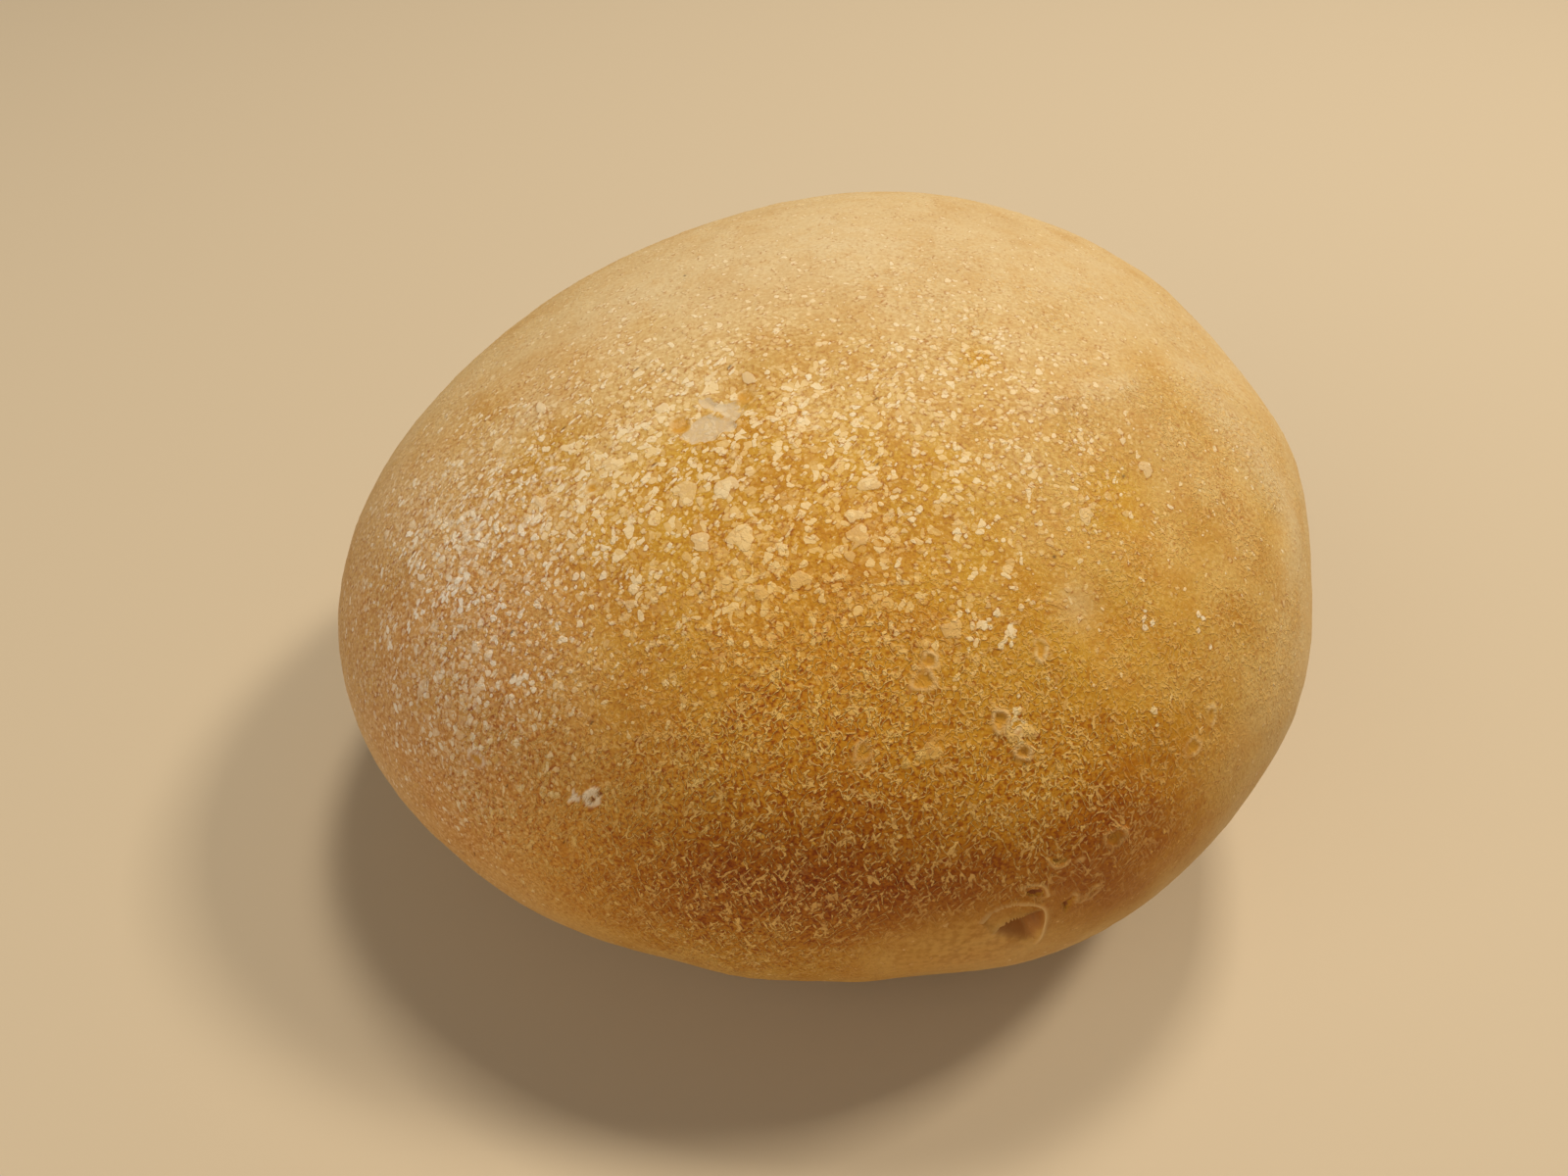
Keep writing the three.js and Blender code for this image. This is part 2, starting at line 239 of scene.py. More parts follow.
# The square's edges fold onto themselves under the foot, so their corners are shared.
own_corner = np.arange((NET + 1) ** 2).reshape(NET + 1, NET + 1)
corner = own_corner.copy()
half = NET // 2
for edge in (corner[:, 0], corner[:, NET], corner[0], corner[NET]):
    edge[half + 1 :] = edge[half - 1 :: -1]


def four_corners(values):
    """The values at the four corners of each square of the net."""
    return np.stack([values[:-1, :-1], values[1:, :-1], values[1:, 1:], values[:-1, 1:]], 2)


kept, quads = np.unique(four_corners(corner), return_inverse=True)
quads = quads.reshape(-1, 4).astype(np.int32)

LEAST_AREA = 1e-6
DOWN = [0, 0, -1.0]
normal = np.cross(np.gradient(skin, axis=0), np.gradient(skin, axis=1))
area = np.linalg.norm(normal, axis=-1, keepdims=True)
outward = np.where(area > LEAST_AREA, normal / np.maximum(area, LEAST_AREA), DOWN)
corner_area = np.where(corner == own_corner, area[..., 0], 0)

RELIEF_FROM, RELIEF_OVER = 1, 6  # millimetres up from the floor, where relief dies away
standing = np.clip((skin[..., 2] - RELIEF_FROM) / RELIEF_OVER, 0, 1)

# ---------------------------------------------------------------- the crust's flakes
# Thin scales of dried skin, cream on the golden crust, left by small bubbles that swelled and sank in the
# first minutes in the oven. They lie thickest over the front of the crown.

relief = np.zeros_like(skin[..., 2])  # how far the crust stands out, in millimetres
finish = {}  # what the crust's colours go by, one number for each corner of the net

LATTICE = 61  # random values along each side, before they repeat
CELLS_BELOW = 200  # so that every cell has a number above nothing


def lumps(size, seed):
    """Smooth lumps from -1 to 1, about so many millimetres across."""
    lattice = np.random.default_rng(seed).uniform(-1, 1, (LATTICE, LATTICE, LATTICE))
    cell = skin / size + CELLS_BELOW
    base = np.floor(cell).astype(int)
    part = cell - base
    part = part * part * (3 - 2 * part)
    total = 0
    for corner_of in np.ndindex(2, 2, 2):
        weight = np.prod(np.where(corner_of, part, 1 - part), -1)
        total = total + weight * lattice[tuple(np.moveaxis((base + corner_of) % LATTICE, -1, 0))]
    return total


def rise_over(value, low, high):
    """0 below the low value and 1 above the high one, with a smooth step between them."""
    share_up = np.clip((value - low) / (high - low), 0, 1)
    return share_up * share_up * (3 - 2 * share_up)


def beside(away, width):
    """1 on a line, and falling away on either side of it over about so many millimetres."""
    return np.exp(-((away / width) ** 2))


def patches(spots):
    """Several patches together, each given as name, bearing, rise, spread in degrees and strength."""
    return sum(strength * spread_over(direction, *where) for _, *where, strength in spots)


# Where they lie: bearing, rise, spread in degrees, and how thick.
FLAKED = [
    ("front of the crown", 247, 51, 20, 1.0),
    ("below the torn skin", 226, 46, 15, 0.6),
    ("left shoulder", 206, 34, 16, 0.52),
    ("left of the crown", 200, 64, 16, 0.25),
    ("right of the crown", 300, 70, 17, 0.5),
    ("crown", 60, 84, 16, 0.15),
    ("front", 258, 30, 16, 0.3),
    ("front right", 284, 40, 12, 0.2),
    ("right of the front", 297, 56, 13, 0.35),
    ("right shoulder", 325, 42, 20, 0.18),
    ("left flank", 208, 16, 20, 0.33),
    ("front left", 228, 20, 14, 0.3),
    ("left low", 230, 6, 14, 0.4),
    ("lip", 262, -6, 14, 0.35),
    ("back", 100, 40, 40, 0.15),
    ("back left", 155, 30, 32, 0.3),
    ("right side", 25, 30, 30, 0.15),
]
FLAKED_EVERYWHERE = 0.02
flaked = patches(FLAKED) + FLAKED_EVERYWHERE
clusters = rise_over(lumps(6.5, seed=41) + 0.6 * lumps(3, seed=42), -0.5, 0.55)
flaked = np.clip(flaked, 0, 1.1) * (0.82 + 0.28 * clusters)

# The largest flakes: bearing, rise, half width and half height in millimetres.
LARGE_FLAKES = [
    (263.5, 46.7, 1.1, 0.75),
    (262, 48.8, 0.75, 0.65),
    (246.2, 43.7, 1.35, 0.95),
    (241, 42, 0.9, 0.8),
    (239, 48.2, 0.8, 1.1),
    (263.5, 52.8, 1.0, 0.75),
    (256.5, 41, 0.95, 0.75),
    (252, 39, 0.8, 0.6),
    (220, 44, 1.0, 0.8),
    (217, 52, 0.7, 0.6),
    (225, 61.5, 1.0, 0.5),
    (200, 41.5, 1.1, 0.45),
    (234, 46, 1.0, 1.2),
    (216, 36.5, 0.9, 0.5),
    (275.2, 24.7, 0.6, 0.5),
    (273.8, 24, 0.5, 0.5),
    (276.4, 25.1, 0.8, 0.8),
    (285, 26.2, 0.75, 0.6),
    (286.6, 26.4, 0.7, 0.65),
    (222.5, 22, 0.55, 0.5),
    (224.6, 22.2, 0.5, 0.5),
    (218.5, 14.5, 0.6, 0.9),
    (300.8, 46, 0.75, 0.7),
    (317, 47, 0.8, 0.7),
    (278, 37, 0.8, 0.9),
]
LARGE_FLAKE_HEIGHT = 0.08
LARGE_FLAKE_TINTS = (0.35, 0.65)  # from the colour of the crust's flakes, at 0, to the whitest, at 1

# Clumps of small white flakes: bearing, rise, how far each spreads across and up in degrees, and how many.
CLUMPS = [
    (208, 23, 1.3, 0.7, 9),
    (210, 27, 0.5, 1.3, 9),
    (212, 30, 1.2, 1.4, 12),
    (205, 23, 0.7, 1.0, 6),
    (215, 24, 0.5, 1.5, 8),
    (213, 19.5, 0.5, 1.0, 6),
    (207, 33, 2.4, 2.4, 16),
    (217, 34, 2.2, 1.8, 16),
    (229.5, 22.5, 1.3, 0.7, 8),
    (228, 14, 1.0, 0.8, 6),
    (282, 37, 0.9, 0.8, 12),
    (285, 35.5, 0.9, 0.7, 7),
    (285.4, 26.4, 0.7, 0.5, 6),
    (285, 28, 0.8, 0.9, 8),
    (303, 33, 0.4, 0.8, 4),
    (311, 30, 0.3, 1.2, 5),
    (302, 25, 0.4, 0.6, 3),
]
CLUMP_REACH = math.cos(math.radians(8))  # no flake of a clump lies further off than this
CLUMP_FLAKE_RADII = (0.17, 0.32)
CLUMP_FLAKE_HEIGHT = 0.06
CLUMP_FLAKE_TINTS = (0.8, 1.3)

# All the others: how many, least and largest radius, and height.
FLAKES = [(50, 0.42, 0.58, 0.07), (700, 0.27, 0.4, 0.06), (4600, 0.17, 0.28, 0.045)]
FLAKE_GAP = 0.12  # millimetres kept clear of the flakes that already lie there
FLAKED_LEVELS = (8, 30)  # they thin out between these heights, towards the floor
FLAKE_LOBES = [(2, 0.16), (3, 0.14), (4, 0.08), (5, 0.08)]  # how many round the edge, how far they swing
FLAKE_SWING, FLAKE_MARGIN = 1.4, 0.5  # how far past its radius a flake and the gap round it can reach
CLOSEST_CORNERS = 0.2  # millimetres
ALMOST_UP = [0.01, 0.02, 1]  # so that a flake on the very crown has a right-hand side too
FLAKE_SEED = 11
chances = np.random.default_rng(FLAKE_SEED)
flake_depth = np.full(skin.shape[:2], -1.0)  # how far inside a flake each corner lies
flake_tint = np.zeros(skin.shape[:2])
flake_height = np.zeros(skin.shape[:2])


def lay_flake(place, half_across, half_along, height, tint):
    """One flake with an outline of its own. Where two meet, the one that reaches deeper is on top."""
    row, column = divmod(int(place), NET + 1)
    reach = max(half_across, half_along) * FLAKE_SWING + FLAKE_MARGIN
    reach = int(math.ceil(reach / CLOSEST_CORNERS))
    patch = (slice(max(row - reach, 0), row + reach + 1), slice(max(column - reach, 0), column + reach + 1))
    off, out = skin[patch] - skin[row, column], outward[row, column]
    right = np.cross(ALMOST_UP, out)
    right /= np.linalg.norm(right)
    across, along = off @ right / half_across, off @ np.cross(out, right) / half_along
    angle = np.arctan2(along, across)
    shape = 1.0
    for lobes, swing in FLAKE_LOBES:
        shape = shape + swing * np.cos(lobes * angle - chances.uniform(0, math.tau))
    size = min(half_across, half_along)
    depth = np.maximum(size - np.hypot(across, along) * size / shape, -np.linalg.norm(off, axis=-1))
    better = depth > flake_depth[patch]
    flake_depth[patch][better] = depth[better]
    flake_tint[patch][better] = tint
    flake_height[patch][better] = height


for bearing, rise, half_across, half_along in LARGE_FLAKES:
    place = np.argmax(directions @ towards(np.radians(bearing), np.radians(rise)))
    lay_flake(place, half_across, half_along, LARGE_FLAKE_HEIGHT, chances.uniform(*LARGE_FLAKE_TINTS))

for bearing, rise, across, up, count in CLUMPS:
    climb = math.radians(rise)
    near = np.flatnonzero(directions @ towards(math.radians(bearing), climb) > CLUMP_REACH)
    for _ in range(count):
        turn = bearing + chances.normal(0, across) / math.cos(climb)
        heading = towards(math.radians(turn), math.radians(rise + chances.normal(0, up)))
        place = near[np.argmax(directions[near] @ heading)]
        radius = chances.uniform(*CLUMP_FLAKE_RADII)
        tall = radius * chances.uniform(0.8, 1.6)
        lay_flake(place, radius, tall, CLUMP_FLAKE_HEIGHT, chances.uniform(*CLUMP_FLAKE_TINTS))

# Most of the others are small and few are white. Where they lie thin they are faint.
likely = corner_area * flaked**1.3 * standing * rise_over(skin[..., 2], *FLAKED_LEVELS)
likely = np.cumsum(likely.ravel())
for count, least, largest, height in FLAKES:
    for place in np.searchsorted(likely, chances.random(count) * likely[-1]):
        radius = least + (largest - least) * chances.random() ** 1.6
        narrow = chances.uniform(0.7, 1)
        if flake_depth.flat[place] < -radius * 0.6 - FLAKE_GAP:
            tint = chances.random() ** 1.2 * np.clip(1.6 * flaked.flat[place], 0.2, 1)
            lay_flake(place, radius, radius * narrow, height, tint)

relief += 0.8 * flake_height * rise_over(flake_depth, -0.08, 0.16)
relief -= 0.01 * beside(flake_depth + 0.12, 0.08)
finish["flake"] = flake_depth
finish["flake_tint"] = flake_tint

# ---------------------------------------------------------------- the crust's rings
# Blisters that broke in the middle and left a low wall round a small pit. The skin of the wall is thin and
# pale, and the pit shows the browner dough under it.


class Spot:
    """The corners of the net round one place, and how far each lies to the right of it and up the slope."""

    def __init__(self, bearing, rise, reach):
        centre = crust_point(np.radians(bearing), np.radians(rise)) - off_origin
        off = skin.reshape(-1, 3) - centre
        self.corners = np.flatnonzero((np.abs(off) < reach).all(1))
        off = off[self.corners]
        out = outward.reshape(-1, 3)[self.corners[np.argmin((off**2).sum(1))]]
        right = np.cross([0, 0, 1], out)
        self.right = right / np.linalg.norm(right)
        self.up = np.cross(out, self.right)
        self.across, self.along = off @ self.right, off @ self.up

    def pick(self, values):
        """The values at its own corners."""
        return values.reshape(-1)[self.corners]

    def add(self, values, extra):
        values.reshape(-1)[self.corners] += extra

    def lay(self, values, over):
        """Raise the values at its corners to these, where they are lower."""
        flat = values.reshape(-1)
        flat[self.corners] = np.maximum(flat[self.corners], over)

    def off_line(self, line):
        """How far each corner lies from a line."""
        nearest = np.full(self.across.shape, np.inf)
        for (x, y), (next_x, next_y) in zip(line, line[1:]):
            run_x, run_y = next_x - x, next_y - y
            share = ((self.across - x) * run_x + (self.along - y) * run_y) / (run_x**2 + run_y**2)
            share = np.clip(share, 0, 1)
            aside = np.hypot(self.across - x - share * run_x, self.along - y - share * run_y)
            nearest = np.minimum(nearest, aside)
        return nearest

    def inside(self, outline):
        """How far each corner lies inside a closed outline, and less than nothing outside it."""
        odd = np.zeros(self.across.shape, bool)
        for (x, y), (next_x, next_y) in zip(outline, np.roll(outline, -1, 0)):
            crosses = (y > self.along) != (next_y > self.along)
            with np.errstate(divide="ignore", invalid="ignore"):
                at = x + (self.along - y) * (next_x - x) / (next_y - y)
            odd ^= crosses & (self.across < at)
        away = self.off_line(np.vstack([outline, outline[:1]]))
        return np.where(odd, away, -away)


# Bearing, rise, half width, half height, wall height, which way the wall is open and how much of it.
RINGS = [
    (283.6, 27.7, 0.68, 0.85, 0.22, 0, 0.0),
    (286.2, 24.3, 0.66, 0.64, 0.2, 0, 0.0),
    (288.8, 33.9, 0.55, 0.85, 0.2, 60, 0.2),
    (275.2, 34.0, 0.68, 0.62, 0.14, 200, 0.3),
    (274.7, 32.0, 0.9, 0.85, 0.16, 120, 0.3),
    (269, 24.9, 0.65, 0.95, 0.14, 300, 0.2),
    (306.2, 19.1, 0.85, 0.9, 0.12, 190, 0.35),
    (309.2, 21.3, 0.5, 0.8, 0.12, 200, 0.45),
    (297, 12.6, 1.0, 1.1, 0.3, 240, 0.2),
    (228.4, 11.8, 0.9, 0.7, 0.12, 280, 0.3),
    (221, 41, 0.7, 0.6, 0.12, 20, 0.3),
]
RING_REACH = 4
RING_WALL_WIDTH = 0.16
RING_CLEARANCE = 0.075  # how far out from the wall's middle flakes are kept off
NO_FLAKE = -0.5  # as far inside a flake as bare skin lies
pale_skin_and_highlight = np.zeros(skin.shape[:2])
pit = np.zeros(skin.shape[:2])
plain = np.zeros(skin.shape[:2])  # where neither flakes nor curls lie
ragged_wall = 0.8 + 0.4 * lumps(0.7, seed=53)


def keep_flakes_off(spot, bare):
    flake_depth.reshape(-1)[spot.corners] = np.where(bare, NO_FLAKE, spot.pick(flake_depth))


# The small rings are the plainest inside and have the brownest pits.
for bearing, rise, half_across, half_along, wall, open_way, open_share in RINGS:
    spot = Spot(bearing, rise, RING_REACH)
    size = (half_across + half_along) / 2
    across, along = spot.across / half_across, spot.along / half_along
    angle = np.arctan2(along, across)
    wobble = 1.0
    for lobes, swing, turned in ((2, 0.09, -rise), (3, 0.09, -bearing), (5, 0.06, rise)):
        wobble = wobble + swing * np.cos(lobes * angle + turned)
    away = (np.hypot(across, along) / wobble - 1) * size
    shut = 1 - open_share * 2 * rise_over(np.cos(angle - math.radians(open_way)), 0.1, 0.9)
    ridge = beside(away, RING_WALL_WIDTH) * np.clip(shut, 0, 1)
    hole = rise_over(-away / size, 0.12, 0.55)
    spot.add(relief, wall * ridge * spot.pick(ragged_wall) - 0.4 * wall * hole)
    spot.lay(pale_skin_and_highlight, ridge * spot.pick(ragged_wall))
    spot.lay(pit, np.clip(1.2 - 0.6 * size, 0.3, 0.84) * hole)
    spot.lay(plain, np.clip(1.5 - 0.9 * size, 0.4, 1) * rise_over(-away, -0.3, 0))
    keep_flakes_off(spot, away < RING_CLEARANCE)
kept_rough = 1 - 0.8 * plain  # how much of its small flakes and curls each corner keeps
finish["flaked"] = flaked * kept_rough

# ---------------------------------------------------------------- the torn skin
# A blister near the crown that tore open. Its floor dried into a smooth pale film with a ragged outline,
# and a small pit stayed open at either end. Places on it are in millimetres, to the right and up the slope.

BEND_STEPS = 6  # from each place on a bent line to the next


def bent(path, closed=False):
    """A smooth line through a few places."""
    places = np.array(path, float)
    if closed:
        places = np.vstack([places[-1:], places, places[:2]])
    slopes = np.gradient(places, axis=0)
    if closed:
        places, slopes = places[1:-1], slopes[1:-1]
    s = np.linspace(0, 1, BEND_STEPS, endpoint=False)[:, None]
    line = (
        (2 * s**3 - 3 * s**2 + 1) * places[:-1, None]
        + (s**3 - 2 * s**2 + s) * slopes[:-1, None]
        + (3 * s**2 - 2 * s**3) * places[1:, None]
        + (s**3 - s**2) * slopes[1:, None]
    ).reshape(-1, 2)
    return line if closed else np.vstack([line, places[-1:]])


TORN_AT = (227.8, 54.8)
TORN_REACH = 8
TORN_LOBES = [
    [
        (-2.9, 0.5), (-2.4, 1.3), (-0.9, 1.9), (0.1, 2.9), (1.1, 3.1), (1.7, 2.1), (1.4, 0.9), (0, 0.7),
        (-1.3, 0.45),
    ],
    [
        (-1.5, -3.5), (-1.4, -2.6), (-1.5, -1.7), (-1.3, -0.5), (-0.9, 0.2), (0.5, 0.55), (1.5, 0.6),
        (2.4, 0.3), (2.2, -0.5), (1.6, -1.1), (1.6, -1.9), (0.8, -2.5), (0, -3.1), (-0.8, -3.4),
    ],
]
TORN_DEPTH, TORN_RIM = 0.16, 0.08
TORN_CREASE = [(-2.4, 0.05), (-1.2, 0.15), (-0.1, 0.5), (0.9, 0.65)]
CREASE_WIDTH, CREASE_DEPTH = 0.12, 0.1
TORN_PITS = [(0.45, 3.5, 0.9, 0.75), (-2.4, -2.35, 1.05, 0.72)]  # place, radius and how brown
TORN_PIT_DEPTH, TORN_PIT_RIM = 0.15, 0.07

torn = Spot(*TORN_AT, TORN_REACH)
torn_skin = np.zeros(skin.shape[:2])
ragged = torn.pick(0.25 * lumps(0.9, seed=51) + 0.15 * lumps(0.45, seed=54))
film = np.maximum(*(torn.inside(bent(lobe, closed=True)) for lobe in TORN_LOBES)) + ragged
thin = 0.6 * rise_over(torn.along + 0.6 * torn.across, 1.2, 3) + 0.2 * torn.pick(lumps(1.3, seed=55))
torn.lay(torn_skin, rise_over(film, -0.06, 0.14) * np.clip(1 - thin, 0, 1))
torn.add(relief, -TORN_DEPTH * rise_over(film, -0.05, 0.35) + TORN_RIM * beside(film + 0.15, 0.16))
in_crease = beside(torn.off_line(TORN_CREASE), CREASE_WIDTH)
torn.add(relief, -CREASE_DEPTH * in_crease)
torn.lay(pit, 0.5 * in_crease)
for x, y, radius, brown in TORN_PITS:
    away = np.hypot(torn.across - x, torn.along - y)
    rim = beside(away - radius, 0.16)
    torn.add(relief, -TORN_PIT_DEPTH * rise_over(radius - away, 0, 0.5) + TORN_PIT_RIM * rim)
    torn.lay(pit, brown * rise_over(radius - away, -0.1, 0.25))
    torn_skin.reshape(-1)[torn.corners] *= 1 - rise_over(radius - away, -0.1, 0.2)
    torn.lay(pale_skin_and_highlight, 0.5 * beside(away - radius, 0.13) * rise_over(-film, -0.1, 0.2))
keep_flakes_off(torn, film > -0.2)
finish["torn_skin"] = torn_skin

# A pale pair of dried scales low on the left front, the larger with two pinholes through it.

PAIR_AT = (242.1, 14.1)
PAIR_OUTLINES = [
    [(-2.2, -1.4), (-1.75, -0.05), (-1.05, -0.85)],
    [(-0.85, -0.2), (-0.25, 0.9), (0.65, 1.2), (1.25, 0.75), (0.95, -0.45), (0.2, -1.2), (-0.5, -0.85)],
]
PAIR_REACH = 4
PAIR_HEIGHT = 0.12
PINHOLES = [(0.14, -0.26), (0.78, 0.62)]
PINHOLE_RADIUS, PINHOLE_DEPTH = 0.32, 0.35

pair = Spot(*PAIR_AT, PAIR_REACH)
for outline in PAIR_OUTLINES:
    scale = pair.inside(np.array(outline)) + 0.2 * pair.pick(lumps(0.6, seed=52))
    pair.lay(pale_skin_and_highlight, rise_over(scale, -0.06, 0.1))
    pair.add(relief, PAIR_HEIGHT * rise_over(scale, -0.1, 0.2))
for x, y in PINHOLES:
    within = PINHOLE_RADIUS - np.hypot(pair.across - x, pair.along - y)
    pair.add(relief, -PINHOLE_DEPTH * rise_over(within, 0, 0.2))
    pair.lay(pit, rise_over(within, -0.06, 0.12))

# ---------------------------------------------------------------- the burst bubble
# A large bubble low on the front right flank that burst at the end of baking. Its thin lip still arches
# over the hollow, and the skin round it is smooth, drawn thin and pale, with four slits through it. Places
# on it are in millimetres, to the right and up the slope.

BUBBLE_AT = (289.1, 2.4)
BUBBLE_REACH = 11
LIP = [
    (-3.9, 1.7), (-3.2, 3.0), (-2.35, 3.65), (-1.2, 3.9), (0.2, 3.74), (1.4, 3.21), (2.1, 2.5), (2.5, 1.4),
    (2.7, -0.1), (2.75, -1.9), (2.55, -3.6), (2.3, -5.0),
]
LIP_BESIDE_HOLLOW = -8  # the last steps of the lip run on below the hollow
HOLLOW_TOP = [
    (-2.4, -0.6), (-1.85, 0.34), (-1.1, 0.96), (-0.2, 1.36), (0.67, 1.72), (1.58, 1.97),
    (2.2, 1.9), (2.45, 0.6), (2.5, -1.6),
]
HOLLOW_EDGE = 40  # the first steps of its top, where the edge isn't under the lip
HOLLOW_EDGE_RIGHT = 2.2
HOLLOW_FOOT = [(2.5, -1.6), (2.3, -2.9), (1.4, -3.3), (0.1, -2.7), (-1.2, -1.8), (-2.4, -0.6)]
HOLLOW_HEART = (0.4, -0.6)
HOLLOW_DEPTH, LEDGE_DEPTH, EDGE_HEIGHT = 1.9, 0.32, 0.1
LIP_HEIGHT, LIP_OVERHANG = 0.3, 0.3

drawn_over = np.zeros_like(skin)  # how far the crust is drawn sideways, in millimetres
bubble = Spot(*BUBBLE_AT, BUBBLE_REACH)
lip, hollow_top, hollow_foot = bent(LIP), bent(HOLLOW_TOP), bent(HOLLOW_FOOT)
across, along = bubble.across, bubble.along
in_hollow = bubble.inside(np.vstack([hollow_top, hollow_foot[1:-1]]))
hollowed = in_hollow > 0
steep = rise_over(bubble.off_line(hollow_top), 0, 0.45) * hollowed
gentle = rise_over(bubble.off_line(hollow_foot), 0, 2.2) * hollowed
off_lip = bubble.off_line(lip)
fade = rise_over(along, -5.2, -2.6) * rise_over(across + 0.4 * along, -4.4, -2.9)
ledge = bubble.inside(np.vstack([lip[:LIP_BESIDE_HOLLOW], hollow_top[::-1]]))
bubble.add(relief, -HOLLOW_DEPTH * steep * gentle - LEDGE_DEPTH * rise_over(ledge, 0, 0.4) * ~hollowed)
bubble.add(relief, LIP_HEIGHT * fade * beside(off_lip, 0.26))
bubble.add(relief, EDGE_HEIGHT * beside(bubble.off_line(hollow_top), 0.16) * (across < HOLLOW_EDGE_RIGHT))
pull = LIP_OVERHANG * fade * beside(off_lip, 0.22)
to_hollow = np.stack([HOLLOW_HEART[0] - across, HOLLOW_HEART[1] - along], -1)
to_hollow /= np.linalg.norm(to_hollow, axis=-1, keepdims=True) + 0.3
drawn_over.reshape(-1, 3)[bubble.corners] += (
    pull[:, None] * (to_hollow[:, :1] * bubble.right + to_hollow[:, 1:] * bubble.up)
)
bubble.lay(pale_skin_and_highlight, 0.95 * fade * beside(off_lip, 0.13))
# The pale line along the hollow's top edge, where the lip doesn't cover it, is a painted highlight on that
# edge.
bubble.lay(pale_skin_and_highlight, 0.3 * beside(bubble.off_line(hollow_top[:HOLLOW_EDGE]), 0.12))
hollow = np.zeros(skin.shape[:2])
bubble.lay(hollow, rise_over(in_hollow, -0.05, 0.2) * rise_over(bubble.off_line(hollow_foot), 0.05, 0.7))
finish["hollow"] = hollow

# Slits: bearing, rise, depth, outline, and the line of the pale edge.
SLITS = [
    (
        289.5, 7.7, 0.49,
        [(-0.9, 0), (-0.4, 0.4), (0.25, 0.34), (0.8, 0.05), (0.78, -0.45), (0.1, -0.52), (-0.5, -0.35)],
        [(-1.4, 0.75), (-0.9, 1.0), (0, 1.0), (0.8, 0.55), (1.3, -0.8)],
    ),
    (
        293.7, 4.6, 0.49,
        [(0.63, 0.94), (-0.3, 0.5), (-0.6, 0.2), (-0.2, -0.9), (0, -1.6), (0.3, -0.5)],
        [(0.25, 1.45), (0.85, 0.8), (0.8, -0.03)],
    ),
    (
        291.1, 11.6, 0.35,
        [(-0.9, 0.5), (-0.55, -0.15), (0, -0.4), (0.6, -0.35), (0.9, -0.1), (0.4, 0.05), (-0.3, 0.2)],
        [(-0.85, 0.1), (-0.5, -0.5), (0.05, -0.8), (0.6, -0.7), (1.0, -0.3)],
    ),
    (
        295.8, 5.6, 0.28,
        [(0.15, -0.1), (0.4, 0.2), (0.55, 0), (0.3, -0.25)],
        [(-0.7, -1.2), (-0.2, -0.4), (0.1, 0.35), (0.66, 0.8), (0.9, -0.1), (0.4, -0.8), (-0.1, -1.2)],
    ),
]
SLIT_REACH = 3.5
SLIT_EDGE_HEIGHT, SLIT_EDGE_WIDTH = 0.16, 0.16
for bearing, rise, depth, outline, edge in SLITS:
    spot = Spot(bearing, rise, SLIT_REACH)
    within = spot.inside(bent(outline, closed=True))
    spot.add(relief, -depth * rise_over(within, -0.05, 0.35))
    spot.lay(pit, 0.9 * rise_over(within, -0.06, 0.14))
    pale = beside(spot.off_line(bent(edge)), SLIT_EDGE_WIDTH)
    spot.add(relief, SLIT_EDGE_HEIGHT * pale)
    spot.lay(pale_skin_and_highlight, 0.85 * pale * rise_over(-within, -0.05, 0.1))

# A small pale scale between the slits.
SCALE_AT = (293.5, 11.1)
SCALE_REACH = 2
SCALE_OUTLINE = [(-0.5, 0), (0, 0.35), (0.46, 0.2), (0.4, -0.35), (-0.16, -0.4)]
spot = Spot(*SCALE_AT, SCALE_REACH)
spot.lay(pale_skin_and_highlight, 0.7 * rise_over(spot.inside(bent(SCALE_OUTLINE, closed=True)), -0.05, 0.12))
finish["pale_skin_and_highlight"] = pale_skin_and_highlight * np.clip(1 - 1.2 * pit, 0, 1)
finish["pit"] = pit

# ---------------------------------------------------------------- the crust itself
# One thin hard skin over the whole roll, pale on top and golden lower down, and brown low at the front,
# where it turns under. It is all one piece of bread.

# How the oven and the dough coloured it: bearing, rise, spread in degrees, and how strongly. Less than
# nothing takes colour away. The pale patch on the right is a painted sheen.
BAKED_AND_PAINTED_LIGHT = [
    ("front", 270, 22, 44, 1.1),
    ("front of the crown", 250, 58, 24, 0.42),
    ("left front", 228, 40, 16, 0.3),
    ("left flank", 205, 20, 24, 0.3),
    ("left, low", 232, 0, 18, 0.2),
    ("right shoulder", 330, 30, 26, 0.27),
    ("right, low", 305, 15, 18, 0.15),
    ("upper right", 345, 62, 24, 0.22),
    ("lip", 262, -8, 13, 0.2),
    ("back", 90, 0, 50, 0.7),
    ("left side", 155, 12, 30, 0.5),
    ("right side", 28, 12, 32, 0.55),
    ("left shoulder, brown", 194, 46, 5, 0.12),
    ("left shoulder, higher", 189, 55, 3, 0.2),
    ("left shoulder, lower", 193, 35, 3.5, 0.2),
    ("left shoulder, pale", 200, 41, 3, -0.25),
    ("by the torn skin", 208, 40, 4, 0.25),
    ("right of the crown", 299, 70, 2.5, 0.5),
    ("dent on the right", 308, 46, 5, 0.3),
    # Painted sheen: a paler patch on the right.
    ("pale patch on the right, painted sheen", 295, 37, 2.5, -0.35),
    ("left, pale", 202, 26, 5, -0.2),
    ("low left rim, pale", 236, -6, 6, -0.2),
    ("left front", 232, 21, 4, 0.3),
]
BROWNED = [
    ("low at the front left", 253, 6, 9, 0.4),
    ("low at the front", 268, 9, 11, 0.85),
    ("low at the front right", 296, 9, 9, 0.8),
    ("beside the bubble", 281, 8, 7, 0.5),
    ("low at the back", 95, -6, 34, 0.45),
    ("low on the left", 160, -8, 20, 0.3),
    ("low on the right", 25, -8, 22, 0.3),
]
